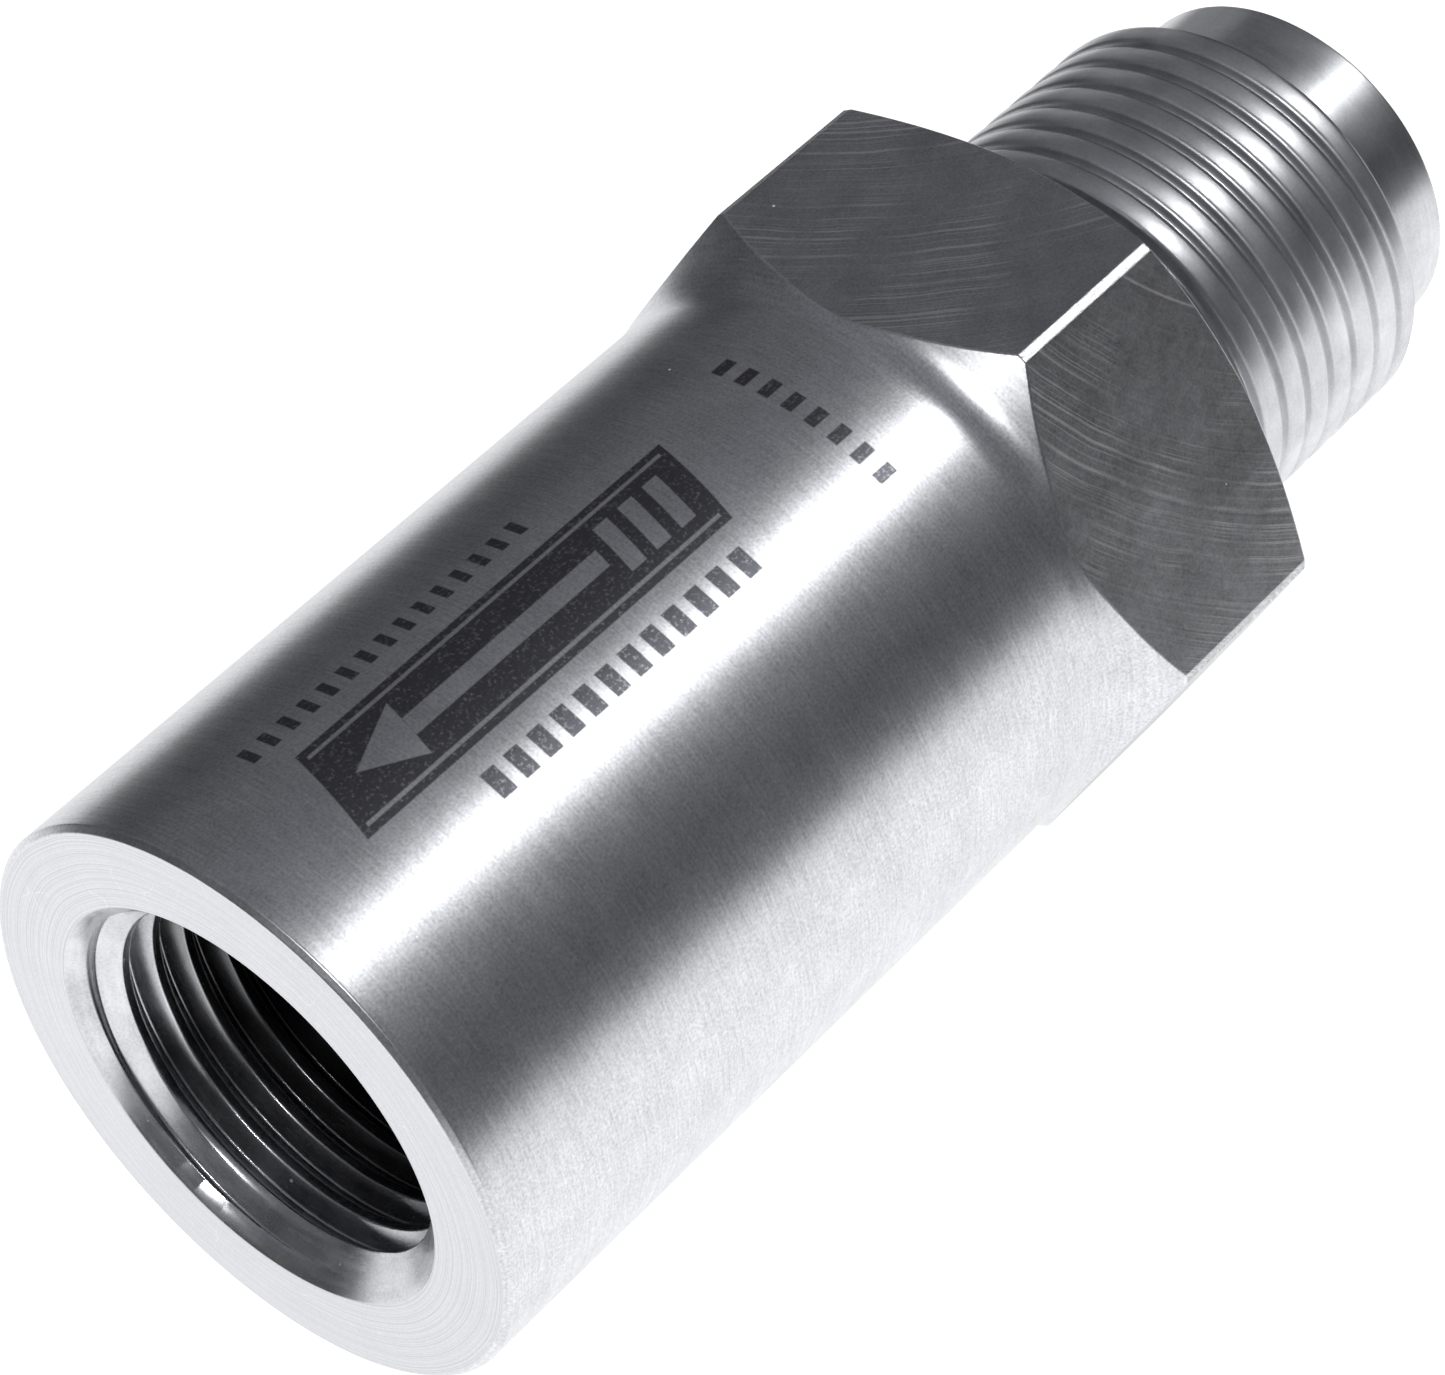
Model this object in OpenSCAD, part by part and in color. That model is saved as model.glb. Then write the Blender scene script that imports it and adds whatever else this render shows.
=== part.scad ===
// Pressure relief valve for a high-pressure fuel rail, direct acting, with an adjustable spring.
// One turned hexagonal body holds a pressed-in seat, a ball on a sliding plunger, a coil spring,
// shims, a hollow adjusting screw and its lock screw.
// Frame: X runs along the valve's axis from the return port to the nose that enters the rail,
// Z is up with the valve lying on a flat of its hexagon, and the origin is on the axis
// in the plane of the hexagon's rail-side shoulder. Millimetres.

/* [Body] */
// Diameter of the round barrel
barrel_d = 23.6; // [23.0:0.1:23.8]
// Length of the barrel, flare and hexagon, from the return face to the rail shoulder
body_len = 43.2; // [42.8:0.1:46]
// Hexagon across flats
hex_af = 24; // [24:0.1:25]
// Length of the hexagon at its corners, before the chamfers
hex_corner_len = 7.2; // [5:0.1:8]
// Radius of the fillet between barrel and flare
flare_fillet = 2.5; // [2:0.1:3]
// Diameter of the plain nose
nose_d = 15; // [14:0.1:15.8]
// Length of the plain nose in front of the rail thread
nose_len = 3.3; // [3.3:0.1:5]

/* [Threads] */
// Major diameter of the rail thread
rail_thread_d = 18; // [18:0.1:18.6]
// Pitch of the rail thread
rail_pitch = 1.5; // [1.5:0.1:1.5]
// Number of crests on the rail thread
rail_crests = 8; // [6:1:8]
// Major diameter of the return port thread
port_thread_d = 16; // [15.6:0.1:16.4]
// Number of grooves in the return port thread
port_grooves = 6; // [4:1:6]
// Major diameter of the adjuster thread
adjuster_thread_d = 14; // [14:0.1:14.2]

/* [Valve] */
// Diameter of the ball
ball_d = 4; // [3.8:0.1:4.2]
// Diameter of the inlet orifice in the seat
orifice_d = 1.6; // [1:0.1:1.8]
// Lift of the plunger until it meets the guide sleeve
lift = 0.9; // [0.5:0.1:1.2]
// Diameter of the plunger's stem
stem_d = 4.4; // [4:0.1:4.6]

/* [Spring] */
// Wire diameter
wire_d = 2.2; // [1.6:0.1:2.2]
// Mean coil diameter
coil_d = 9.4; // [9:0.1:9.4]
// Number of coils, the two closed ends included
coils = 5; // [4.5:0.5:5.5]

/* [Adjuster] */
// Across flats of the socket in the adjusting screw
adjuster_key = 6; // [5:0.1:6]
// Across flats of the hexagonal hole through the lock screw
lock_key = 8; // [7:0.1:8]
// Thickness of the thicker shim
thick_shim_t = 0.5; // [0.3:0.1:0.6]
// Thickness of the thinner shim
thin_shim_t = 0.3; // [0.2:0.1:0.4]

/* [Hidden] */

turn_fn = 96;
eps = 0.5;

// metric thread proportions, as shares of the pitch
crest_land = 1 / 8;
male_depth = 0.6134;
female_depth = 0.5413;
female_land = 1 / 4;
flank_rise = tan(30);

// outside of the body
barrel_r = barrel_d / 2;
return_x = -body_len;
rim_chamfer = 0.22;
hex_corner_r = hex_af / 2 / cos(30);
corner_round = 0.065;
rail_chamfer_r = hex_af / 2 - 0.05;
rail_chamfer_x = -(hex_corner_r - rail_chamfer_r) * tan(30);
flare_top_x = rail_chamfer_x - hex_corner_len;
flare_end_r = barrel_r + flare_fillet * (1 - cos(45));
flare_end_x = flare_top_x - (hex_corner_r - flare_end_r);
flare_x = flare_end_x - flare_fillet * sin(45);
relief_r = rail_thread_d / 2 - 1;
relief_fillet = 0.3;
rail_crest_r = rail_thread_d / 2;
rail_root_r = rail_crest_r - male_depth * rail_pitch;
rail_flank_len = (rail_crest_r - rail_root_r) * flank_rise;
rail_relief_len = 2.05;
rail_first_crest_x = rail_relief_len + rail_flank_len;
rail_end_x = rail_first_crest_x + (rail_crests - 1 + crest_land) * rail_pitch + rail_flank_len;
nose_r = nose_d / 2;
nose_chamfer = 0.2;
nose_x = rail_end_x + nose_len;

// return port, from the mouth inwards
port_pitch = 1.5;
port_root_r = port_thread_d / 2;
port_crest_r = port_root_r - female_depth * port_pitch;
port_mouth_r = port_root_r + 0.52;
port_x = return_x + port_mouth_r - port_crest_r;
port_relief_r = port_root_r + 0.1;
port_end_x = port_x + (port_grooves - female_land) * port_pitch;
port_relief_x = port_end_x + (port_relief_r - port_crest_r) * flank_rise;
clip_bore_r = adjuster_thread_d / 2 + 0.02;
clip_bore_x = port_relief_x + 0.8;
clip_t = 1;
clip_x = clip_bore_x + 0.7;
clip_groove_r = clip_bore_r + 0.36;
clip_play = 0.05;

// adjuster thread and spring chamber
adjuster_pitch = 1;
adjuster_root_r = adjuster_thread_d / 2;
adjuster_crest_r = adjuster_root_r - female_depth * adjuster_pitch;
adjuster_thread_x = clip_bore_x + 2.6;
adjuster_grooves = 13;
adjuster_end_x = adjuster_thread_x + (adjuster_grooves - female_land) * adjuster_pitch;
screw_play = 0.06;
screw_r = adjuster_crest_r - screw_play;
chamber_r = 6.2;

// lock screw, washer, adjusting screw, shims and rear seat, one behind the other
lock_x = adjuster_thread_x + 0.5;
lock_len = 4;
washer_x = lock_x + lock_len;
washer_t = 0.7;
adjuster_x = washer_x + washer_t;
adjuster_len = 5.5;
socket_depth = 3.5;
adjuster_bore_r = 2.2;
thin_shim_x = adjuster_x + adjuster_len;
thick_shim_x = thin_shim_x + thin_shim_t;
rear_seat_x = thick_shim_x + thick_shim_t;
seat_flange_t = 1.5;
seat_flange_r = 5.9;
spring_x = rear_seat_x + seat_flange_t;

// nose end: insert, gasket, ball chamber and guide sleeve
insert_r = 4.5;
insert_len = 4.6;
insert_recess = 0.3;
insert_x = nose_x - insert_recess - insert_len;
gasket_t = 0.4;
gasket_x = insert_x - gasket_t;
ball_chamber_r = 3.8;
ball_r = ball_d / 2;
seat_mouth_r = 1.9;
orifice_r = orifice_d / 2;
inlet_mouth_r = 2.6;
inlet_funnel_len = 1.4;
seat_gap = 0.01;
ball_x = insert_x + seat_mouth_r - ball_r * cos(45) * 2 - seat_gap;
head_r = 2.9;
head_front_x = ball_x - 0.46;
head_len = 1.7;
head_x = head_front_x - head_len;
sleeve_front_x = head_x - lift;
sleeve_len = 6;
sleeve_x = sleeve_front_x - sleeve_len;
sleeve_r = 5.5;
stem_r = stem_d / 2;
stem_play = 0.03;
slot_w = 2.4;
slot_floor_r = 3;
slots = 4;
seat_front_gap = 0.3;
front_seat_front_x = sleeve_x - seat_front_gap;
front_seat_x = front_seat_front_x - seat_flange_t;
cup_depth = 0.7;
cup_r = 2.6;
stem_x = front_seat_front_x - cup_depth;
spigot_len = 3;

// spring between its two seats
wire_r = wire_d / 2;
coil_r = coil_d / 2;
spring_len = front_seat_x - spring_x;
spigot_r = coil_r - wire_r - 0.3;
steps_per_coil = 24;
wire_sides = 10;
closed_coils = 1;
active_coils = coils - 2 * closed_coils;
closed_rise = closed_coils * wire_d;
active_rise = spring_len - wire_d - 2 * closed_rise;

// a solid turned about the X axis from [radius, x] points
module turned(points) {
    rotate([0, 90, 0])
        rotate_extrude($fn = turn_fn)
            polygon(points);
}

// a hexagonal prism along X, with a flat upwards
module hex_prism(af, x, len) {
    translate([x, 0, 0])
        rotate([0, 90, 0])
            rotate([0, 0, 30])
                cylinder(r = af / 2 / cos(30), h = len, $fn = 6);
}

// crests of an outside thread, as parallel rings
function male_rings(x, count, pitch, crest, root) =
    [for (i = [0:count - 1])
        each [[root, x + i * pitch - (crest - root) * flank_rise],
              [crest, x + i * pitch],
              [crest, x + i * pitch + crest_land * pitch],
              [root, x + i * pitch + crest_land * pitch + (crest - root) * flank_rise]]];

// grooves of an inside thread, as parallel rings
function female_rings(x, count, pitch, crest, root) =
    [for (i = [0:count - 1])
        each [[crest, x + i * pitch],
              [root, x + i * pitch + (root - crest) * flank_rise],
              [root, x + i * pitch + (root - crest) * flank_rise + crest_land * pitch],
              [crest, x + (i + 1 - female_land) * pitch]]];

// points on an arc, as [radius, x]
function arc(centre_r, centre_x, radius, from, to, steps) =
    [for (i = [0:steps])
        let (a = from + (to - from) * i / steps)
            [centre_r + radius * sin(a), centre_x + radius * cos(a)]];

// barrel, flare and the two chamfers of the hexagon, before the flats are cut
module turned_head() {
    turned(concat(
        [[0, return_x],
         [barrel_r - rim_chamfer, return_x],
         [barrel_r, return_x + rim_chamfer]],
        arc(barrel_r + flare_fillet, flare_x, flare_fillet, -90, -45, 6),
        [[hex_corner_r - corner_round, flare_top_x - corner_round],
         [hex_corner_r - corner_round, rail_chamfer_x + corner_round * tan(30)],
         [rail_chamfer_r, 0],
         [0, 0]]));
}

module rail_end() {
    turned(concat(
        [[0, -eps],
         [relief_r + relief_fillet, -eps],
         [relief_r + relief_fillet, 0],
         [relief_r, relief_fillet]],
        male_rings(rail_first_crest_x, rail_crests, rail_pitch, rail_crest_r, rail_root_r),
        [[nose_r, rail_end_x],
         [nose_r, nose_x - nose_chamfer],
         [nose_r - nose_chamfer, nose_x],
         [0, nose_x]]));
}

module return_port_cut() {
    turned(concat(
        [[0, return_x - eps],
         [port_mouth_r + eps, return_x - eps],
         [port_crest_r, port_x]],
        female_rings(port_x, port_grooves, port_pitch, port_crest_r, port_root_r),
        [[port_relief_r, port_relief_x],
         [port_relief_r, clip_bore_x],
         [0, clip_bore_x]]));
}

module adjuster_cut() {
    turned(concat(
        [[0, clip_bore_x - eps],
         [clip_bore_r, clip_bore_x - eps],
         [clip_bore_r, clip_x],
         [clip_groove_r, clip_x],
         [clip_groove_r, clip_x + clip_t + 2 * clip_play],
         [clip_bore_r, clip_x + clip_t + 2 * clip_play],
         [clip_bore_r, adjuster_thread_x - 0.6],
         [adjuster_crest_r, adjuster_thread_x]],
        female_rings(adjuster_thread_x, adjuster_grooves, adjuster_pitch,
                     adjuster_crest_r, adjuster_root_r),
        [[chamber_r, adjuster_end_x + 0.15],
         [chamber_r, sleeve_x - 0.2],
         [sleeve_r, sleeve_x + 0.2],
         [sleeve_r, sleeve_front_x],
         [ball_chamber_r, sleeve_front_x],
         [ball_chamber_r, gasket_x],
         [insert_r, gasket_x],
         [insert_r, nose_x - 0.3],
         [insert_r + 0.3 + eps, nose_x + eps],
         [0, nose_x + eps]]));
}

module valve_body() {
    color([0.66, 0.67, 0.69])
        difference() {
            union() {
                intersection() {
                    turned_head();
                    union() {
                        turned([[0, return_x - eps], [barrel_r, return_x - eps],
                                [barrel_r, flare_top_x], [0, flare_top_x]]);
                        hex_prism(hex_af, return_x - eps, body_len + 2 * eps);
                    }
                }
                rail_end();
            }
            return_port_cut();
            adjuster_cut();
        }
}

// hardened seat, pressed in from the nose; the ball closes its inner cone
module seat_insert() {
    color([0.5, 0.51, 0.54])
        turned([[orifice_r, insert_x + seat_mouth_r - orifice_r],
                [seat_mouth_r, insert_x],
                [insert_r - 0.2, insert_x],
                [insert_r, insert_x + 0.2],
                [insert_r, insert_x + insert_len - 0.3],
                [insert_r - 0.3, insert_x + insert_len],
                [inlet_mouth_r, insert_x + insert_len],
                [orifice_r, insert_x + insert_len - inlet_funnel_len]]);
}

module seat_gasket() {
    color([0.72, 0.43, 0.25])
        turned([[ball_chamber_r, gasket_x], [insert_r, gasket_x],
                [insert_r, insert_x], [ball_chamber_r, insert_x]]);
}

module valve_ball() {
    color([0.8, 0.81, 0.83])
        translate([ball_x, 0, 0])
            sphere(r = ball_r, $fn = turn_fn);
}

// head with the ball's cup, and the stem that slides in the guide sleeve
module plunger() {
    color([0.58, 0.59, 0.62])
        difference() {
            turned([[0, stem_x],
                    [stem_r - 0.4, stem_x],
                    [stem_r, stem_x + 0.4],
                    [stem_r, head_x],
                    [head_r, head_x],
                    [head_r, head_front_x - 0.4],
                    [head_r - 0.4, head_front_x],
                    [0, head_front_x]]);
            translate([ball_x, 0, 0])
                sphere(r = ball_r, $fn = turn_fn);
        }
}

// fixed sleeve round the stem, with slots along its outside for the fuel
module guide_sleeve() {
    color([0.62, 0.6, 0.52])
        difference() {
            turned([[stem_r + stem_play, sleeve_x],
                    [sleeve_r - 0.3, sleeve_x],
                    [sleeve_r, sleeve_x + 0.3],
                    [sleeve_r, sleeve_front_x],
                    [stem_r + stem_play, sleeve_front_x]]);
            for (i = [0:slots - 1])
                rotate([45 + i * 360 / slots, 0, 0])
                    translate([sleeve_x - eps, -slot_w / 2, slot_floor_r])
                        cube([sleeve_len + 2 * eps, slot_w, sleeve_r]);
        }
}

module front_spring_seat() {
    color([0.55, 0.56, 0.58])
        turned([[0, front_seat_x - spigot_len],
                [spigot_r - 0.6, front_seat_x - spigot_len],
                [spigot_r, front_seat_x - spigot_len + 0.6],
                [spigot_r, front_seat_x],
                [seat_flange_r - 0.4, front_seat_x],
                [seat_flange_r - 0.3, front_seat_x + 0.1],
                [seat_flange_r - 0.3, front_seat_front_x - 0.3],
                [seat_flange_r - 0.6, front_seat_front_x],
                [cup_r, front_seat_front_x],
                [cup_r - 0.1, stem_x],
                [0, stem_x]]);
}

function spring_rise(turn) =
    turn < closed_coils ? turn / closed_coils * closed_rise
    : turn < closed_coils + active_coils
        ? closed_rise + (turn - closed_coils) / active_coils * active_rise
    : closed_rise + active_rise
        + (turn - closed_coils - active_coils) / closed_coils * closed_rise;

// round wire swept along the helix, as rings of points joined by quads
module main_spring() {
    steps = coils * steps_per_coil;
    points = [for (i = [0:steps], j = [0:wire_sides - 1])
        let (turn = i / steps_per_coil,
             a = turn * 360,
             b = j * 360 / wire_sides,
             r = coil_r + wire_r * cos(b))
            [spring_x + wire_r + spring_rise(turn) + wire_r * sin(b), r * cos(a), r * sin(a)]];
    sides = [for (i = [0:steps - 1], j = [0:wire_sides - 1])
        let (k = (j + 1) % wire_sides)
            [i * wire_sides + j, i * wire_sides + k,
             (i + 1) * wire_sides + k, (i + 1) * wire_sides + j]];
    first_cap = [for (j = [wire_sides - 1:-1:0]) j];
    last_cap = [for (j = [0:wire_sides - 1]) steps * wire_sides + j];
    color([0.32, 0.33, 0.35])
        polyhedron(points = points, faces = concat(sides, [first_cap, last_cap]));
}

module rear_spring_seat() {
    color([0.55, 0.56, 0.58])
        turned([[1.6, rear_seat_x],
                [seat_flange_r, rear_seat_x],
                [seat_flange_r, spring_x - 0.2],
                [seat_flange_r - 0.2, spring_x],
                [spigot_r, spring_x],
                [spigot_r, spring_x + spigot_len - 0.6],
                [spigot_r - 0.6, spring_x + spigot_len],
                [1.6, spring_x + spigot_len]]);
}

module shim(x, thickness) {
    turned([[3, x], [seat_flange_r, x], [seat_flange_r, x + thickness], [3, x + thickness]]);
}

module thick_shim() {
    color([0.7, 0.68, 0.6])
        shim(thick_shim_x, thick_shim_t);
}

module thin_shim() {
    color([0.74, 0.73, 0.68])
        shim(thin_shim_x, thin_shim_t);
}

// headless screw blank with chamfered ends, inside the crests of the thread in the body
module screw_blank(x, len) {
    turned([[0, x], [screw_r - 0.4, x], [screw_r, x + 0.4],
            [screw_r, x + len - 0.4], [screw_r - 0.4, x + len], [0, x + len]]);
}

module adjuster_screw() {
    color([0.42, 0.43, 0.45])
        difference() {
            screw_blank(adjuster_x, adjuster_len);
            hex_prism(adjuster_key, adjuster_x - eps, socket_depth + eps);
            turned([[0, adjuster_x], [adjuster_bore_r, adjuster_x],
                    [adjuster_bore_r, adjuster_x + adjuster_len + eps],
                    [0, adjuster_x + adjuster_len + eps]]);
        }
}

module thrust_washer() {
    color([0.74, 0.46, 0.28])
        turned([[4.1, washer_x], [chamber_r, washer_x],
                [chamber_r, washer_x + washer_t], [4.1, washer_x + washer_t]]);
}

module lock_screw() {
    color([0.42, 0.43, 0.45])
        difference() {
            screw_blank(lock_x, lock_len);
            hex_prism(lock_key, lock_x - eps, lock_len + 2 * eps);
        }
}

// internal retaining ring with two plier lugs at its gap
module retaining_ring() {
    ring_r = clip_groove_r - 0.02;
    inner_r = 6;
    lug_angle = 24;
    lug_r = 1.15;
    lug_centre_r = 5.5;
    color([0.25, 0.26, 0.28])
        translate([clip_x + clip_play, 0, 0])
            rotate([0, 90, 0])
                linear_extrude(clip_t)
                    difference() {
                        union() {
                            difference() {
                                circle(r = ring_r, $fn = turn_fn);
                                translate([-0.35, 0])
                                    circle(r = inner_r, $fn = turn_fn);
                                rotate(180)
                                    polygon([[0, 0],
                                             [10, 10 * tan(lug_angle - 9)],
                                             [10, -10 * tan(lug_angle - 9)]]);
                            }
                            for (side = [-1, 1])
                                rotate(180 + side * lug_angle)
                                    translate([lug_centre_r, 0])
                                        circle(r = lug_r, $fn = 48);
                        }
                        for (side = [-1, 1])
                            rotate(180 + side * lug_angle)
                                translate([lug_centre_r, 0])
                                    circle(r = 0.55, $fn = 32);
                    }
}

valve_body();
seat_insert();
seat_gasket();
valve_ball();
plunger();
guide_sleeve();
front_spring_seat();
main_spring();
rear_spring_seat();
thick_shim();
thin_shim();
adjuster_screw();
thrust_washer();
lock_screw();
retaining_ring();
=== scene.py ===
import math

import bpy
import numpy as np
from mathutils import Matrix, Vector


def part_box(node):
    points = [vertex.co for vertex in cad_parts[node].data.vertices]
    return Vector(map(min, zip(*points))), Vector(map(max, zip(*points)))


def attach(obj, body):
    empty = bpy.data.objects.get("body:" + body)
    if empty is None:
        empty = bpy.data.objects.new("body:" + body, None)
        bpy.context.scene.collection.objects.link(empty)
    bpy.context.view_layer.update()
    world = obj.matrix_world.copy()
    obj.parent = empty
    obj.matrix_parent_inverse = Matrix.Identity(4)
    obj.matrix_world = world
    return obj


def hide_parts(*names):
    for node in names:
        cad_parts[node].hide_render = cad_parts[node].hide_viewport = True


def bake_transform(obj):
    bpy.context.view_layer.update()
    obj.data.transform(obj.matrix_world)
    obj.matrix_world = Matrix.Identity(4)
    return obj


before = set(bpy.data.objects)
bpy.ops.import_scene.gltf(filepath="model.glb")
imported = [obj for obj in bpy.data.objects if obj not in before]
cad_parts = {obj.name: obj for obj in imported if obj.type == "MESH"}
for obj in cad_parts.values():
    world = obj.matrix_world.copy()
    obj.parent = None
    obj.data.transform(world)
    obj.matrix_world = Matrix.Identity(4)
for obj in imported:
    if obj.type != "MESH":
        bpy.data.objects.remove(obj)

# The valve lies on a flat of its hexagon, with its axis along X and its nose towards +X.
# Lengths in this script are in millimetres, and MM takes them to the frame's metres.

MM = 0.001
TURN = 2 * math.pi
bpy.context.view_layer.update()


# ---------------------------------------------------------------- sizes

def node_box(node):
    low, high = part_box(node)
    return [v / MM for v in low], [v / MM for v in high]


body_low, body_high = node_box("valve_body")
RETURN_X = body_low[0]
NOSE_X = body_high[0]
HEX_FLAT = body_high[2]

BARREL_R = 11.8
RIM_CHAMFER = 0.22
FLARE_X = -11.393
FLARE_FILLET = 2.5
HEX_CORNER_ROUND = 0.43
HEX_EDGE_R = 13.74
RAIL_CHAMFER_R = 11.95
RELIEF_R = 8.0
# x is where a thread's land farthest from the axis starts, at angle 0, the direction of +Y
RAIL_THREAD = {"pitch": 1.5, "crest": 9.0, "x": 2.581}
RAIL_RIDGE = 0.98
RAIL_CROWN = 0.045
RAIL_GROOVE = 0.38
RAIL_START_X = 2.05
RAIL_END_X = 13.80
RAIL_RUN_IN = 1.4
RAIL_RUN_OUT = 1.15
SHOULDER_MIDDLE_R = 10
NOSE_R = 7.5
PORT_MOUTH_R = 8.52
PORT_THREAD = {"pitch": 1.5, "crest": 7.188, "root": 8.0, "x": -40.9}
PORT_END_X = -32.716
PORT_RELIEF_R = 8.1
CLIP_BORE_R = 7.02
CLIP_BORE_X = -31.916
CLIP_GROOVE_R = 7.38
CLIP_GROOVE = (-31.216, -30.116)
ADJUSTER_THREAD = {"pitch": 1.0, "crest": 6.459, "root": 7.0, "x": -29.316}
ADJUSTER_START_X = -29.916
ADJUSTER_END_X = -16.2
CHAMBER_R = 6.2
CHAMBER_FRONT_X = 2.0
SLEEVE_R = 5.5
SLEEVE_REAR_X = 2.4
SLEEVE_FRONT_X = 8.2
BALL_CHAMBER_R = 3.8
INSERT_R = 4.5
INSERT_REAR_X = 11.8

# a rounded corner gets one more ring on each side, this many times its cut away
GUARD = 1.12


# ---------------------------------------------------------------- mesh building

def hex_radius(angles, flat, corner_round):
    """Distance from the axis to a hexagon with rounded corners and a flat at the top."""
    beside_flat = np.mod(angles, TURN / 6) - TURN / 12
    straight = flat / np.cos(beside_flat)
    beside_corner = np.mod(angles + TURN / 12, TURN / 6) - TURN / 12
    centre = (flat - corner_round) / math.cos(TURN / 12)
    limit = math.atan2(corner_round / 2, centre + corner_round * math.cos(TURN / 12))
    inside = np.clip(corner_round ** 2 - (centre * np.sin(beside_corner)) ** 2, 0, None)
    curved = centre * np.cos(beside_corner) + np.sqrt(inside)
    return np.where(np.abs(beside_corner) < limit, curved, straight), limit


def hex_angles(flat, corner_round, corner_steps, flat_steps):
    """Column angles with extra columns round each corner of a hexagon."""
    limit = hex_radius(np.zeros(1), flat, corner_round)[1]
    corner = np.linspace(-limit, limit, corner_steps + 1)
    side = np.linspace(limit, TURN / 6 - limit, flat_steps + 1)[1:-1]
    guard = 0.0025
    one = np.concatenate([corner, [limit + guard], side, [TURN / 6 - limit - guard]])
    return np.sort(np.mod(np.concatenate([one + i * TURN / 6 for i in range(6)]), TURN))


def rounded(points, steps=4):
    """Rings along a path of (x, r, size): each inner corner with a size becomes a small curve."""
    paths = [np.stack(np.broadcast_arrays(np.asarray(p[0], float), np.asarray(p[1], float)), -1)
             for p in points]
    # a curve takes at most this share of the shorter of its two sides
    longest = 0.42
    out = [paths[0]]
    for i in range(1, len(points) - 1):
        size = points[i][2] if len(points[i]) > 2 else 0
        if size == 0:
            out.append(paths[i])
            continue
        before, after = paths[i - 1] - paths[i], paths[i + 1] - paths[i]
        len_before = np.linalg.norm(before, axis=-1, keepdims=True)
        len_after = np.linalg.norm(after, axis=-1, keepdims=True)
        cut = np.minimum(size, longest * np.minimum(len_before, len_after))
        a = paths[i] + before / np.maximum(len_before, 1e-9) * cut
        b = paths[i] + after / np.maximum(len_after, 1e-9) * cut
        out.append(paths[i] + (a - paths[i]) * GUARD)
        for t in np.linspace(0, 1, steps + 1):
            out.append(a * (1 - t) ** 2 + paths[i] * 2 * t * (1 - t) + b * t ** 2)
        out.append(paths[i] + (b - paths[i]) * GUARD)
    out.append(paths[-1])
    return [(p[..., 0], p[..., 1]) for p in out]


def between(a, b, steps):
    """Rings spaced evenly between two (x, r) rings, both ends left out."""
    return [(a[0] + (b[0] - a[0]) * t, a[1] + (b[1] - a[1]) * t)
            for t in np.linspace(0, 1, steps + 1)[1:-1]]


def thread_profile(pitch, low_r, high_r, high_land, round_size, steps=3):
    """(x, r) points over one pitch from the start of the high land, its four corners rounded."""
    rise = (high_r - low_r) * math.tan(TURN / 12)
    x_points = [0, high_land, high_land + rise, pitch - rise]
    r_points = [high_r, high_r, low_r, low_r]
    ring = list(zip(x_points, r_points))
    low_land = pitch - 2 * rise - high_land
    lands = [high_land, high_land, low_land, low_land]
    # a curve takes at most this share of the land it cuts
    longest = 0.48
    out = []
    for i in range(4):
        here = np.array(ring[i])
        before = np.array(ring[i - 1]) - (np.array([pitch, 0]) if i == 0 else 0)
        after = np.array(ring[(i + 1) % 4]) + (np.array([pitch, 0]) if i == 3 else 0)
        cut = min(round_size, longest * lands[i])
        a = here + (before - here) / np.linalg.norm(before - here) * cut
        b = here + (after - here) / np.linalg.norm(after - here) * cut
        out += [a * (1 - t) ** 2 + here * 2 * t * (1 - t) + b * t ** 2
                for t in np.linspace(0, 1, steps + 1)]
    out = np.array(out)
    return out[np.argsort(out[:, 0])]


def worn_profile(pitch, crest_r, ridge, crown, depth):
    """(x, r) points over one pitch: a broad crowned ridge, then a narrow rounded groove."""
    t = np.linspace(-1, 1, 9)
    crest = np.stack([ridge * (t + 1) / 2, crest_r - crown * t ** 2], -1)
    u = np.linspace(0, 1, 11)[1:-1]
    groove = np.stack([ridge + (pitch - ridge) * u,
                       crest_r - crown - depth * np.sin(u * TURN / 2)], -1)
    return np.concatenate([crest, groove])


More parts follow.
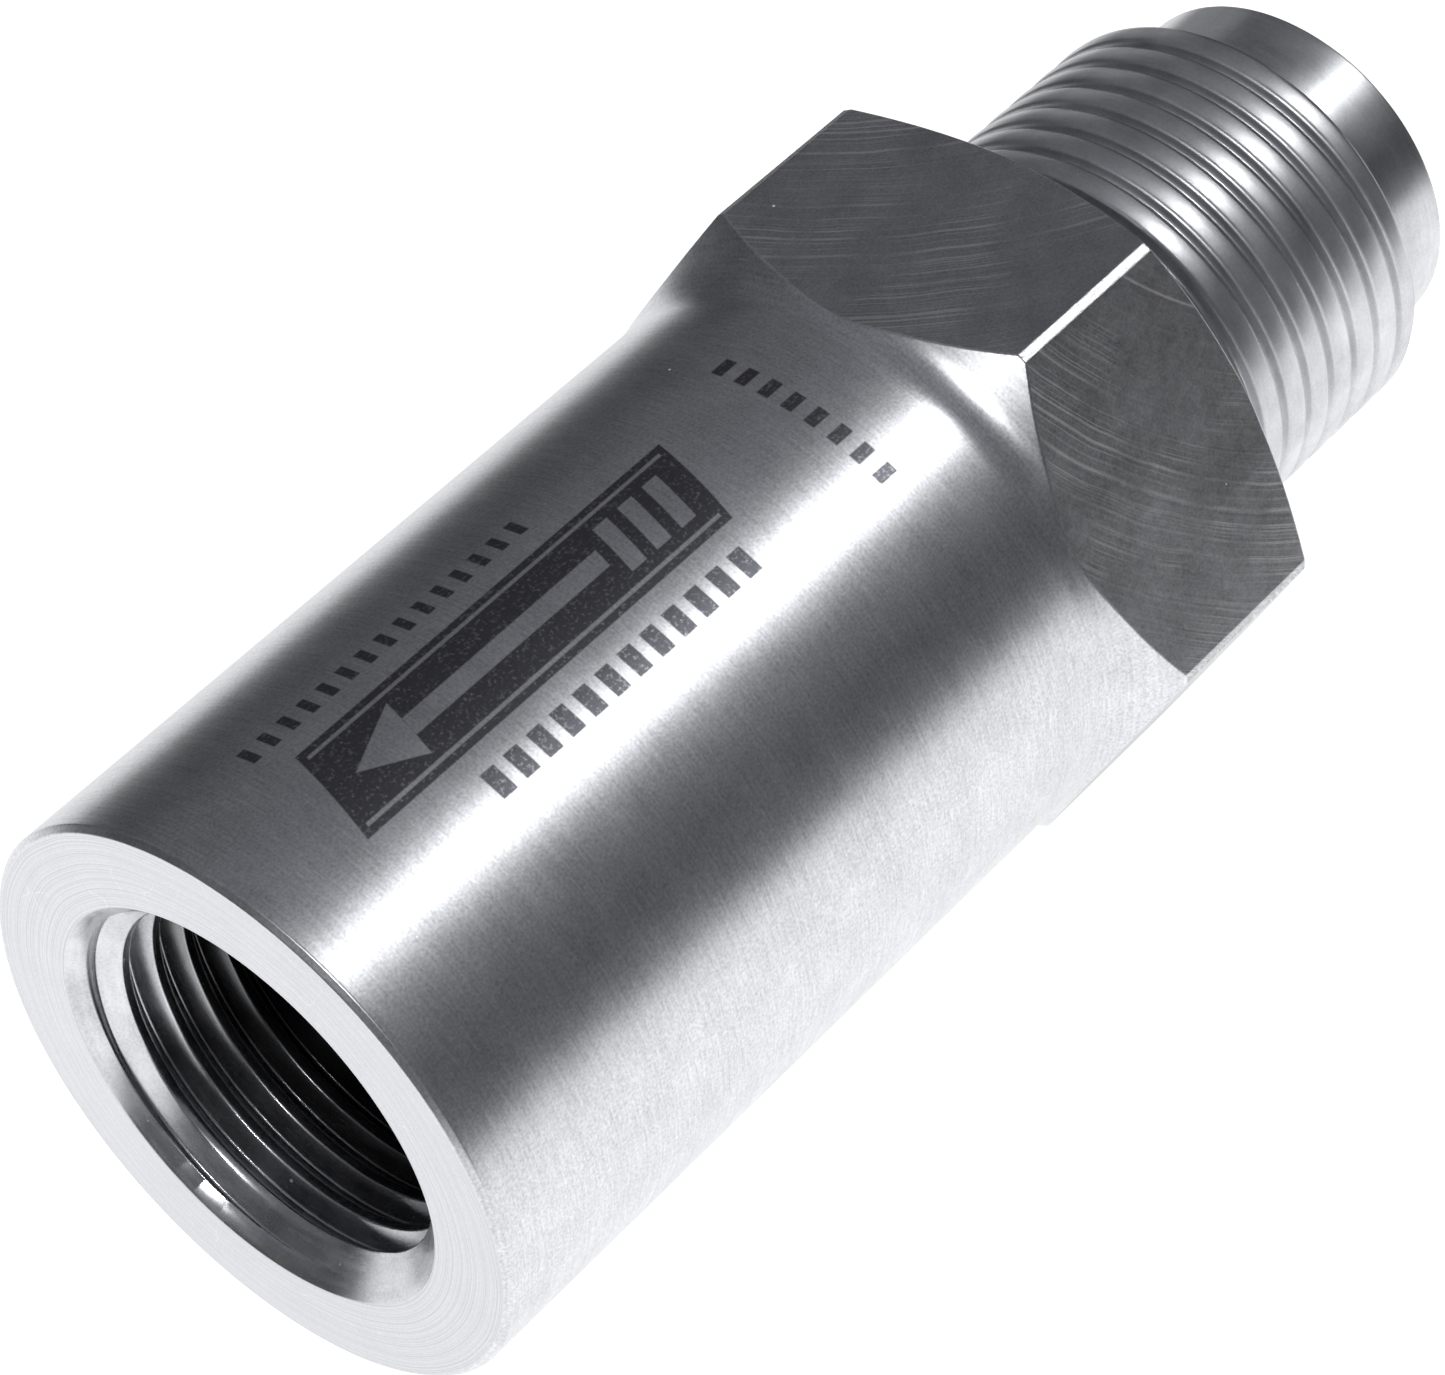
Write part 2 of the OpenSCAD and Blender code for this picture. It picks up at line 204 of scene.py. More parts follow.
class Turned:
    """A mesh of rings of points round the X axis, joined ring to ring."""

    def __init__(self, angles):
        self.angles = np.asarray(angles, float)
        self.count = 0
        self.points = []
        self.faces = []
        self.materials = []

    def add(self, x, r, angles):
        self.points.append(np.stack([x, r * np.cos(angles), r * np.sin(angles)], -1))
        index = np.arange(self.count, self.count + len(x))
        self.count += len(x)
        return index

    def ring(self, x, r):
        x, r, angles = np.broadcast_arrays(np.asarray(x, float), np.asarray(r, float), self.angles)
        return self.add(x, r, angles)

    def pole(self, x):
        return np.full(len(self.angles), self.add(np.array([x]), np.zeros(1), np.zeros(1))[0])

    def join(self, a, b, material):
        a_next, b_next = np.roll(a, -1), np.roll(b, -1)
        self.quads(a, a_next, b_next, b, material)

    def quads(self, a, b, c, d, material):
        faces = np.stack([a, b, c, d], -1)
        self.faces.append(faces)
        self.materials.append(np.full(len(faces), material))

    def strip(self, rings, material, last):
        """Joins (x, r) rings one after the other to a last ring, and returns the new last ring."""
        for x, r in rings:
            here = self.ring(x, r)
            self.join(last, here, material)
            last = here
        return last

    def helix(self, low, high, low_x, high_x, profile, pitch, first_x, limit, material, flip):
        """A right-hand thread between two rings. Its rows climb one pitch a turn."""
        rows = len(profile)
        n = len(self.angles)
        climb = pitch * self.angles / TURN
        first = math.floor((low_x - first_x) / pitch) - 1
        last = math.ceil((high_x - first_x) / pitch) + 1
        total = (last - first) * rows
        table = np.empty((total + 1, n), int)
        merge = 0.012 * pitch
        for j in range(total + 1):
            turn, row = divmod(j, rows)
            x = first_x + (first + turn) * pitch + profile[row][0] + climb
            below, above = x < low_x + merge, x > high_x - merge
            inside = ~(below | above)
            table[j] = np.where(below, low, high)
            r = limit(np.full(inside.sum(), profile[row][1]), x[inside])
            table[j][inside] = self.add(x[inside], r, self.angles[inside])
        after = np.empty_like(table)
        after[:, :-1] = table[:, 1:]
        after[:total + 1 - rows, -1] = table[rows:, 0]
        after[total + 1 - rows:, -1] = high[0]
        for j in range(total):
            a, b, c, d = table[j], after[j], after[j + 1], table[j + 1]
            if flip:
                a, b, c, d = b, a, d, c
            self.quads(a, b, c, d, material)

    def finish(self, name, materials):
        points = np.concatenate(self.points) * MM
        faces, kinds = np.concatenate(self.faces), np.concatenate(self.materials)
        kept, kept_kinds = [], []
        for face, kind in zip(faces.tolist(), kinds.tolist()):
            unique = [v for i, v in enumerate(face) if v != face[i - 1]]
            if len(set(unique)) == len(unique) and len(unique) > 2:
                kept.append(unique)
                kept_kinds.append(kind)
        mesh = bpy.data.meshes.new(name)
        mesh.from_pydata(points.tolist(), [], kept)
        mesh.polygons.foreach_set("material_index", kept_kinds)
        mesh.polygons.foreach_set("use_smooth", [True] * len(kept))
        for material in materials:
            mesh.materials.append(material)
        mesh.update()
        obj = bpy.data.objects.new(name, mesh)
        bpy.context.scene.collection.objects.link(obj)
        return obj


def even_angles(count):
    return np.arange(count) * TURN / count


def lathe(name, path, material, columns=128):
    """A closed solid turned from a path of (x, r, size) that runs up, along +X, down and back."""
    shape = Turned(even_angles(columns))
    solid = path[0][1] == 0
    rings = rounded(path if solid else path + [path[0]], 3)
    first = shape.pole(rings[0][0]) if solid else shape.ring(*rings[0])
    last = shape.strip(rings[1:-1], 0, first)
    shape.join(last, shape.pole(rings[-1][0]) if solid else first, 0)
    return shape.finish(name, [material])


# ---------------------------------------------------------------- materials

STEEL = (0.62, 0.63, 0.65)
DUST = (0.85, 0.86, 0.88)
# painted shade: the near-black colour that the port fades to with depth
PAINTED_PORT_SHADE = (0.02, 0.02, 0.022)
WHITE = (1, 1, 1)

# the etched marks: their colour, the angle of their middle line and how far they lean along X
ETCH_COLOR = (0.07, 0.07, 0.085)
ETCH_ANGLE = math.radians(96)
ETCH_SLANT = 0.25
# the dark panel along X, its half width, and the border line inside it
PANEL = (-38, -19.5)
PANEL_HALF = 2.1
BORDER_MARGIN = 0.3
BORDER = (1.62, 1.78)
# the flow arrow: how far its tip is inside the panel, and its parts measured back from the tip
ARROW_MARGIN = 1.2
ARROW_HEAD = 2.6
ARROW_SHAFT_END = 12.4
ARROW_SHAFT_HALF = 0.42
# rows of bars: the start, pitch, bar width and count of each row, and the band it keeps to
TAIL_ROW, TAIL_BAND = (12.8, 1.3, 0.75, 3), (-1, 1.15)
BAR_ROW, BAR_BAND = (-34.2, 1.15, 0.68, 12), (3.0, 4.15)
TICK_ROW, TICK_BAND = (-38.5, 0.95, 0.4, 15), (-4.0, -3.1)
GIRDLE_ROW, GIRDLE_BAND = (-3.2, 1.05, 0.5, 8), (-15.0, -14.1)

# the arcs on a flat are centred on this (x, distance across the flat); one pass ends at this radius
CUTTER_CENTRE = (12.5, -17)
CUTTER_PASS = 18.4
CUTTER_STEP = 0.05

# how far inside the port the shade starts, and where it is full
PORT_SHADE = (2, 7)


class Graph:
    """A node material, written as arithmetic. Lengths inside it are in millimetres."""

    def __init__(self, name):
        self.material = bpy.data.materials.new(name)
        self.material.use_nodes = True
        self.tree = self.material.node_tree
        self.shader = self.tree.nodes["Principled BSDF"]
        coordinates = self.tree.nodes.new("ShaderNodeTexCoord")
        scale = self.tree.nodes.new("ShaderNodeVectorMath")
        scale.operation = "SCALE"
        scale.inputs["Scale"].default_value = 1 / MM
        self.tree.links.new(coordinates.outputs["Object"], scale.inputs[0])
        self.place = scale.outputs[0]
        split = self.tree.nodes.new("ShaderNodeSeparateXYZ")
        self.tree.links.new(self.place, split.inputs[0])
        self.x, self.y, self.z = split.outputs
        self.normal = None

    def put(self, socket, value):
        if isinstance(value, bpy.types.NodeSocket):
            self.tree.links.new(value, socket)
        elif socket.type == "RGBA":
            socket.default_value = (*value, 1)
        else:
            socket.default_value = value

    def math(self, operation, *values):
        node = self.tree.nodes.new("ShaderNodeMath")
        node.operation = operation
        for socket, value in zip(node.inputs, values):
            self.put(socket, value)
        return node.outputs[0]

    def add(self, a, b):
        return self.math("ADD", a, b)

    def sub(self, a, b):
        return self.math("SUBTRACT", a, b)

    def mul(self, a, b):
        return self.math("MULTIPLY", a, b)

    def absolute(self, a):
        return self.math("ABSOLUTE", a)

    def length(self, a, b):
        return self.math("SQRT", self.add(self.mul(a, a), self.mul(b, b)))

    def most(self, *values):
        out = values[0]
        for value in values[1:]:
            out = self.math("MAXIMUM", out, value)
        return out

    def ramp(self, value, low, high, to_low=0.0, to_high=1.0):
        """Smoothly from to_low at low to to_high at high."""
        node = self.tree.nodes.new("ShaderNodeMapRange")
        node.interpolation_type = "SMOOTHSTEP"
        self.put(node.inputs["Value"], value)
        node.inputs["From Min"].default_value = low
        node.inputs["From Max"].default_value = high
        node.inputs["To Min"].default_value = to_low
        node.inputs["To Max"].default_value = to_high
        return node.outputs[0]

    def stretched(self, x, y, z, turn=(0, 0, 0)):
        """Coordinates scaled along each axis, for grain that runs one way."""
        node = self.tree.nodes.new("ShaderNodeMapping")
        node.inputs["Scale"].default_value = (x, y, z)
        node.inputs["Rotation"].default_value = turn
        self.put(node.inputs["Vector"], self.place)
        return node.outputs[0]

    def noise(self, vector, scale=1.0, detail=2.0):
        node = self.tree.nodes.new("ShaderNodeTexNoise")
        self.put(node.inputs["Vector"], vector)
        node.inputs["Scale"].default_value = scale
        node.inputs["Detail"].default_value = detail
        return node.outputs["Fac"]

    def noise_line(self, w, scale, detail):
        """Noise that depends on one number."""
        node = self.tree.nodes.new("ShaderNodeTexNoise")
        node.noise_dimensions = "1D"
        self.put(node.inputs["W"], w)
        node.inputs["Scale"].default_value = scale
        node.inputs["Detail"].default_value = detail
        return node.outputs["Fac"]

    def specks(self, cell, size, share, offset=0.0):
        """Small round spots: one in a share of the cells, of a size that varies."""
        node = self.tree.nodes.new("ShaderNodeTexVoronoi")
        moved = self.tree.nodes.new("ShaderNodeVectorMath")
        moved.operation = "ADD"
        moved.inputs[1].default_value = (offset, offset, offset)
        self.put(moved.inputs[0], self.place)
        self.put(node.inputs["Vector"], moved.outputs[0])
        node.inputs["Scale"].default_value = 1 / cell
        split = self.tree.nodes.new("ShaderNodeSeparateColor")
        self.put(split.inputs[0], node.outputs["Color"])
        chosen = self.math("LESS_THAN", split.outputs[0], share)
        reach = self.mul(self.add(self.mul(split.outputs[1], 0.8), 0.35), size / cell)
        spot = self.math("LESS_THAN", node.outputs["Distance"], reach)
        return self.mul(chosen, spot)

    def scratches(self, turn, fineness, share):
        """Sparse straight hairlines, drawn where stretched noise passes a narrow level."""
        line = self.noise(self.stretched(fineness, 0.5, 0.5, turn), detail=1)
        band = self.ramp(self.absolute(self.sub(line, 0.5)), 0.0, 0.012, 1, 0)
        here = self.noise(self.stretched(0.35, 0.35, 0.35, turn), detail=1)
        return self.mul(band, self.ramp(here, 1 - share, 1.04 - share))

    def mix(self, factor, a, b):
        node = self.tree.nodes.new("ShaderNodeMix")
        node.data_type = "RGBA"
        self.put(node.inputs[0], factor)
        sockets = [i for i in node.inputs if i.type == "RGBA"]
        for socket, color in zip(sockets, (a, b)):
            self.put(socket, color)
        return [o for o in node.outputs if o.type == "RGBA"][0]

    def raise_by(self, height, depth):
        """Adds a height of this depth in millimetres to the bump."""
        node = self.tree.nodes.new("ShaderNodeBump")
        node.inputs["Strength"].default_value = 1
        node.inputs["Distance"].default_value = depth * MM
        self.put(node.inputs["Height"], height)
        if self.normal is not None:
            self.tree.links.new(self.normal, node.inputs["Normal"])
        self.normal = node.outputs["Normal"]

    def finish(self, color, roughness, metallic):
        self.put(self.shader.inputs["Base Color"], color)
        self.put(self.shader.inputs["Roughness"], roughness)
        self.put(self.shader.inputs["Metallic"], metallic)
        self.put(self.shader.inputs["Normal"], self.normal)
        return self.material


def shade(color, factor):
    return tuple(min(1, c * factor) for c in color)


def metal(name, color, roughness, grain=(10, 0.6, 0.6), grain_share=1.6, sand_share=1.6,
          cloud_share=1.2, depth=0.0006, spread=0.1, dust_share=0.03, hairlines=0.36, extra=None):
    """Machined metal: tool grain, sandy mottling, clouds, a few hairlines and specks of dust."""
    g = Graph(name)
    fine = g.noise(g.stretched(*grain), detail=3)
    sand = g.noise(g.place, scale=9, detail=2)
    cloud = g.noise(g.place, scale=0.5, detail=3)
    g.raise_by(fine, depth)
    g.raise_by(sand, depth)
    level = g.mul(g.sub(fine, 0.5), grain_share)
    level = g.add(level, g.mul(g.sub(sand, 0.5), sand_share))
    level = g.add(level, g.mul(g.sub(cloud, 0.5), cloud_share))
    tone = g.mix(g.add(level, 0.5), shade(color, 0.7), shade(color, 1.3))
    lines = g.most(g.scratches((0.3, 0.5, 0.9), 9, hairlines),
                   g.scratches((1.2, -0.4, -0.6), 11, hairlines))
    tone = g.mix(g.mul(lines, 0.4), tone, shade(color, 1.5))
    rough = g.add(roughness, g.mul(g.sub(cloud, 0.5), spread))
    rough = g.add(rough, g.mul(g.sub(fine, 0.5), spread))
    rough = g.add(rough, g.mul(lines, 0.1))
    if extra is not None:
        tone, rough = extra(g, tone, rough)
    dust = g.specks(cell=0.7, size=0.05, share=dust_share)
    tone = g.mix(dust, tone, DUST)
    return g.finish(tone, rough, g.sub(1, dust))


def within(g, value, low, high, soft=0.04):
    """1 where a value lies between two bounds, with a soft edge."""
    return g.mul(g.ramp(value, low - soft, low + soft), g.ramp(value, high - soft, high + soft, 1, 0))


def repeated(g, value, start, pitch, width, count):
    """1 on each of a row of equal bars."""
    gap = 0.1
    along = g.sub(value, start)
    bar = within(g, g.math("MODULO", along, pitch), gap, gap + width)
    return g.mul(bar, within(g, along, 0, pitch * count))


def bar_row(g, along, row, across, band):
    """A row of equal bars, as long as a band is wide."""
    return g.mul(repeated(g, along, *row), within(g, across, *band))


def etched(g, tone, rough):
    """The laser-etched marks: a flow arrow in a dark panel, and rows of plain bars."""
    angle = g.math("ARCTAN2", g.z, g.y)
    around = g.mul(g.sub(angle, ETCH_ANGLE), BARREL_R)
    x = g.add(g.x, g.mul(around, ETCH_SLANT))
    panel = g.mul(within(g, x, *PANEL), within(g, around, -PANEL_HALF, PANEL_HALF))
    from_tip = g.sub(x, PANEL[0] + ARROW_MARGIN)
    beside = g.absolute(around)
    outside_head = g.sub(beside, g.mul(from_tip, 0.5))
    head = g.mul(within(g, from_tip, 0, ARROW_HEAD), g.ramp(outside_head, -0.04, 0.04, 1, 0))
    shaft = g.mul(within(g, from_tip, ARROW_HEAD, ARROW_SHAFT_END),
                  within(g, beside, -1, ARROW_SHAFT_HALF))
    tail = bar_row(g, from_tip, TAIL_ROW, beside, TAIL_BAND)
    line = g.mul(within(g, x, PANEL[0] + BORDER_MARGIN, PANEL[1] - BORDER_MARGIN),
                 within(g, beside, *BORDER))
    panel = g.mul(panel, g.sub(1, g.most(head, shaft, tail, line)))
    bars = bar_row(g, g.x, BAR_ROW, around, BAR_BAND)
    ticks = bar_row(g, g.x, TICK_ROW, around, TICK_BAND)
    girdle = bar_row(g, around, GIRDLE_ROW, g.x, GIRDLE_BAND)
    sand = g.noise(g.place, scale=7, detail=3)
    mark = g.mul(g.most(panel, bars, ticks, girdle), g.ramp(sand, 0.22, 0.5, 0.55, 1))
    tone = g.mix(g.mul(mark, 0.9), tone, ETCH_COLOR)
    return tone, g.add(rough, g.mul(mark, 0.08))


def turned_face(g, tone, rough):
    """Fine circles left by the facing tool."""
    radius = g.length(g.y, g.z)
    wobble = g.mul(g.noise(g.place, scale=0.2, detail=1), 0.3)
    lines = g.noise_line(g.add(radius, wobble), scale=14, detail=3)
    g.raise_by(lines, 0.002)
    tone = g.mix(g.ramp(lines, 0.35, 0.55), g.mix(0.5, tone, shade(STEEL, 0.75)), tone)
    return tone, rough


def milled_flat(g, tone, rough):
    """Arcs left by the milling cutter, the same on each of the six flats."""
    angle = g.math("MODULO", g.add(g.math("ARCTAN2", g.z, g.y), TURN), TURN / 6)
    across = g.mul(g.length(g.y, g.z), g.math("SINE", g.sub(angle, TURN / 12)))
    reach = g.length(g.sub(g.x, CUTTER_CENTRE[0]), g.sub(across, CUTTER_CENTRE[1]))
    broken = g.add(reach, g.mul(g.noise(g.place, scale=0.4, detail=1), 0.25))
    feed = g.noise_line(broken, scale=5, detail=3)
    patch = g.noise(g.stretched(0.16, 0.25, 0.25), detail=2)
    faint = g.noise_line(broken, scale=16, detail=2)
    streak = g.most(g.mul(g.ramp(feed, 0.56, 0.68), 0.7), g.mul(g.ramp(faint, 0.5, 0.7), 0.55))
    streak = g.mul(streak, g.ramp(patch, 0.42, 0.6, 0.12, 1))
    g.raise_by(feed, 0.006)
    step = within(g, reach, CUTTER_PASS - CUTTER_STEP, CUTTER_PASS + CUTTER_STEP, CUTTER_STEP)
    streak = g.most(streak, g.mul(step, 0.8))
    tone = g.mix(g.mul(streak, 0.6), tone, WHITE)
    return tone, g.add(rough, g.mul(streak, 0.1))


def painted_shade_and_dust_inside(g, tone, rough):
    """Painted shade: the port gets darker with depth, and dust sits on its first threads."""
    deep = g.ramp(g.x, RETURN_X + PORT_SHADE[0], RETURN_X + PORT_SHADE[1])
    # painted shade: the deeper into the port, the more the colour is mixed towards near-black
    tone = g.mix(g.mul(deep, 0.9), tone, PAINTED_PORT_SHADE)
    grit = g.specks(cell=0.42, size=0.06, share=0.22, offset=3)
    here = g.ramp(g.noise(g.place, scale=0.5, detail=1), 0.45, 0.6)
    grit = g.mul(g.mul(grit, here), g.sub(1, deep))
    return g.mix(grit, tone, DUST), g.add(rough, g.mul(grit, 0.3))


steel = metal("turned_steel", shade(STEEL, 1.04), 0.32, grain_share=0.8, sand_share=1.3, cloud_share=0.5,
              spread=0.04, depth=0.00015, extra=etched, dust_share=0.06)
face_steel = metal("faced_steel", shade(STEEL, 1.08), 0.36, grain=(0.6, 0.6, 0.6),
                   extra=turned_face, grain_share=0, sand_share=0.4, cloud_share=0.2, dust_share=0.015)
milled = metal("milled_flats", shade(STEEL, 0.74), 0.36, grain=(3, 3, 3), grain_share=0.5,
               sand_share=1.2, cloud_share=0.6, depth=0.0002, extra=milled_flat, dust_share=0.05,
               hairlines=0.3)
thread_steel = metal("rail_thread", shade(STEEL, 1.02), 0.37, sand_share=0.5, grain_share=0.3,
                     depth=0.00005, spread=0.03, dust_share=0.05, hairlines=0.3)
nose_steel = metal("nose_steel", shade(STEEL, 0.95), 0.31, grain=(5, 0.4, 0.4),
                   grain_share=0.5, sand_share=0.6, spread=0.04, depth=0.0001)
port_steel = metal("port_thread", STEEL, 0.27, grain=(5, 0.4, 0.4), grain_share=0.8,
                   sand_share=0.7, depth=0.0003, extra=painted_shade_and_dust_inside)
# painted shade: the steel inside the body is darkened far below the steel colour, for the shade in its
# bores
shaded_bore_steel = metal("inner_bore_painted_shade", shade(STEEL, 0.16), 0.4)
insert_steel = metal("hardened_steel", (0.5, 0.5, 0.52), 0.28)
copper = metal("copper", (0.72, 0.43, 0.27), 0.38)
ball_steel = metal("ball_steel", (0.8, 0.8, 0.82), 0.08, grain_share=0.2, sand_share=0.1,
                   cloud_share=0.2, depth=0.00005, spread=0.03, hairlines=0.3)
bronze = metal("bearing_bronze", (0.6, 0.5, 0.34), 0.36)
wire_steel = metal("spring_wire", (0.3, 0.3, 0.32), 0.38)
shim_steel = metal("shim_strip", (0.68, 0.67, 0.62), 0.3)
black_steel = metal("black_oxide", (0.09, 0.09, 0.1), 0.45)

BODY_MATERIALS = [steel, face_steel, milled, thread_steel, nose_steel, port_steel, shaded_bore_steel]
TURNED_FACE, END_FACE, MILLED, THREAD, NOSE, PORT, BORE = range(len(BODY_MATERIALS))


# ---------------------------------------------------------------- valve body

def take_place(obj, node, body_name):
    """The piece is shown instead of a CAD node, and moves with a body."""
    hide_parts(node)
    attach(obj, body_name)


def flare_at(along):
    """(x, r) at a distance along the flare: a fillet, then a cone at 45 degrees."""
    arc = FLARE_FILLET * TURN / 8
    angle = np.clip(along / FLARE_FILLET, 0, TURN / 8)
    beyond = np.clip(along - arc, 0, None) / math.sqrt(2)
    return (FLARE_X + FLARE_FILLET * np.sin(angle) + beyond,
            BARREL_R + FLARE_FILLET * (1 - np.cos(angle)) + beyond)


def flare_length(r):
    """Distance along the flare at which it reaches a radius."""
    cone_r = BARREL_R + FLARE_FILLET * (1 - math.cos(TURN / 8))
    drop = np.clip(1 - (r - BARREL_R) / FLARE_FILLET, math.cos(TURN / 8), 1)
    return FLARE_FILLET * np.arccos(drop) + np.clip(r - cone_r, 0, None) * math.sqrt(2)


def build_body():
    """The whole housing in one skin, from the port's mouth round the outside and back through."""
    shape = Turned(hex_angles(HEX_FLAT, HEX_CORNER_ROUND, 10, 44))
    hexagon = hex_radius(shape.angles, HEX_FLAT, HEX_CORNER_ROUND)[0]
    beside_corner = np.mod(shape.angles + TURN / 12, TURN / 6) - TURN / 12
    hexagon = np.minimum(hexagon, HEX_EDGE_R / np.cos(beside_corner))

    # face of the return end, and the barrel
    mouth_x = RETURN_X + PORT_MOUTH_R - PORT_THREAD["root"]
    face_middle_r = 0.5 * (PORT_MOUTH_R + BARREL_R)
    first = shape.ring(mouth_x, PORT_THREAD["root"])
    mouth = rounded([(mouth_x, PORT_THREAD["root"]),
                     (RETURN_X, PORT_MOUTH_R, 0.06),
                     (RETURN_X, face_middle_r)])
    last = shape.strip(mouth[1:4], PORT, first)
    last = shape.strip(mouth[4:], END_FACE, last)
    rim = rounded([(RETURN_X, face_middle_r),
                   (RETURN_X, BARREL_R - RIM_CHAMFER, 0.05),
                   (RETURN_X + RIM_CHAMFER, BARREL_R, 0.05),
                   (RETURN_X + 4, BARREL_R)])
    last = shape.strip(rim[1:4], END_FACE, last)
    last = shape.strip(rim[4:], TURNED_FACE, last)
    last = shape.strip([(x, BARREL_R) for x in np.linspace(RETURN_X + 8, FLARE_X - 0.3, 6)],
                       TURNED_FACE, last)

    # flare, which meets each flat of the hexagon in a curve
    length = flare_length(hexagon)
    edge_cut = 0.07
    guard = edge_cut * GUARD
    last = shape.strip([flare_at(share * (length - guard)) for share in np.linspace(0, 1, 23)],
                       TURNED_FACE, last)
    flare_end = flare_at(length - edge_cut)
    edge = flare_at(length)
    chamfer_x = -(hexagon - RAIL_CHAMFER_R) * math.tan(TURN / 12)
    flat_start = (edge[0] + edge_cut, hexagon)
    for t in np.linspace(0, 1, 5):
        x = flare_end[0] * (1 - t) ** 2 + edge[0] * 2 * t * (1 - t) + flat_start[0] * t ** 2
        r = flare_end[1] * (1 - t) ** 2 + edge[1] * 2 * t * (1 - t) + flat_start[1] * t ** 2
        last = shape.strip([(x, r)], TURNED_FACE, last)

    # flats, rail-side chamfer, shoulder and thread relief
    shoulder = rounded([(edge[0] + guard, hexagon),
                        (chamfer_x, hexagon, 0.07),
                        (0, RAIL_CHAMFER_R, 0.05),
                        (0, SHOULDER_MIDDLE_R)])
    flats = between(shoulder[0], shoulder[1], 10)
    last = shape.strip([shoulder[0]] + flats + shoulder[1:3], MILLED, last)
    last = shape.strip(shoulder[3:], END_FACE, last)
    relief = rounded([(0, SHOULDER_MIDDLE_R), (0, RELIEF_R, 0.9), (RAIL_START_X, RELIEF_R)], 6)
    last = shape.strip(relief[1:-1], THREAD, last)
    low = shape.strip([relief[-1]], THREAD, last)

    # rail thread
    thread = RAIL_THREAD
    profile = worn_profile(thread["pitch"], thread["crest"], RAIL_RIDGE, RAIL_CROWN, RAIL_GROOVE)
    high = shape.ring(RAIL_END_X, RELIEF_R)

    def rail_limit(r, x):
        start = RELIEF_R + (x - RAIL_START_X) * RAIL_RUN_IN
        end = RELIEF_R + (RAIL_END_X - x) * RAIL_RUN_OUT
        return np.minimum(r, np.minimum(start, end))

    shape.helix(low, high, RAIL_START_X, RAIL_END_X, profile, thread["pitch"],
                thread["x"], rail_limit, THREAD, False)

    # nose and its seat bore
    nose = rounded([(RAIL_END_X, RELIEF_R),
                    (RAIL_END_X, NOSE_R, 0.1),
                    (NOSE_X - 0.2, NOSE_R, 0.06),
                    (NOSE_X, NOSE_R - 0.2, 0.06),
                    (NOSE_X, INSERT_R + 0.3, 0.06),
                    (NOSE_X - 0.3, INSERT_R, 0.06),
                    (INSERT_REAR_X, INSERT_R, 0.05)])
    last = shape.strip(nose[1:4], THREAD, high)
    inner = next(i for i, point in enumerate(nose) if np.max(point[1]) < INSERT_R + 0.2)
    last = shape.strip(nose[4:inner], NOSE, last)
    last = shape.strip(nose[inner:-1], BORE, last)
    bore = rounded([(NOSE_X - 0.6, INSERT_R),
                    (INSERT_REAR_X, INSERT_R, 0.05),
                    (INSERT_REAR_X, BALL_CHAMBER_R, 0.05),
                    (SLEEVE_FRONT_X, BALL_CHAMBER_R, 0.05),
                    (SLEEVE_FRONT_X, SLEEVE_R, 0.05),
                    (SLEEVE_REAR_X, SLEEVE_R, 0.1),
                    (CHAMBER_FRONT_X, CHAMBER_R, 0.1),
                    (ADJUSTER_END_X, CHAMBER_R)])
    last = shape.strip(bore[1:-1], BORE, last)
    high = shape.strip([bore[-1]], BORE, last)

    # adjuster thread
    thread = ADJUSTER_THREAD
    profile = thread_profile(thread["pitch"], thread["crest"], thread["root"],
                             thread["pitch"] / 8, 0.05, 2)
    low = shape.ring(ADJUSTER_START_X, CLIP_BORE_R)

    def adjuster_limit(r, x):
        mouth_r = CLIP_BORE_R - (x - ADJUSTER_START_X)
        end_r = CHAMBER_R + (ADJUSTER_END_X - x)
        return np.minimum(np.maximum(r, mouth_r), end_r)

    shape.helix(low, high, ADJUSTER_START_X, ADJUSTER_END_X, profile, thread["pitch"],
                thread["x"], adjuster_limit, BORE, True)

    # bore and groove of the retaining ring, and the relief of the port thread
    clip = rounded([(ADJUSTER_START_X, CLIP_BORE_R),
                    (CLIP_GROOVE[1], CLIP_BORE_R, 0.04),
                    (CLIP_GROOVE[1], CLIP_GROOVE_R, 0.04),
                    (CLIP_GROOVE[0], CLIP_GROOVE_R, 0.04),
                    (CLIP_GROOVE[0], CLIP_BORE_R, 0.04),
                    (CLIP_BORE_X, CLIP_BORE_R, 0.1),
                    (CLIP_BORE_X, PORT_RELIEF_R, 0.1),
                    (PORT_END_X, PORT_RELIEF_R)])
    last = shape.strip(clip[1:-1], BORE, low)
    high = shape.strip([clip[-1]], BORE, last)

    # return port thread, whose first groove runs out into the mouth's chamfer
    thread = PORT_THREAD
    profile = thread_profile(thread["pitch"], thread["crest"], thread["root"],
                             thread["pitch"] / 8, 0.07)

    def port_limit(r, x):
        mouth_r = PORT_MOUTH_R - (x - RETURN_X)
        end_r = PORT_RELIEF_R - (PORT_END_X - x) / math.tan(TURN / 12)
        return np.maximum(r, np.maximum(mouth_r, end_r))

    shape.helix(first, high, mouth_x, PORT_END_X, profile, thread["pitch"],
                thread["x"], port_limit, PORT, True)
    take_place(shape.finish("valve_body_turned", BODY_MATERIALS), "valve_body", "housing")


build_body()


# ---------------------------------------------------------------- small parts

RING_HOLES = {"seat_gasket": 3.8, "thin_shim": 3.0, "thick_shim": 3.0, "thrust_washer": 4.1}


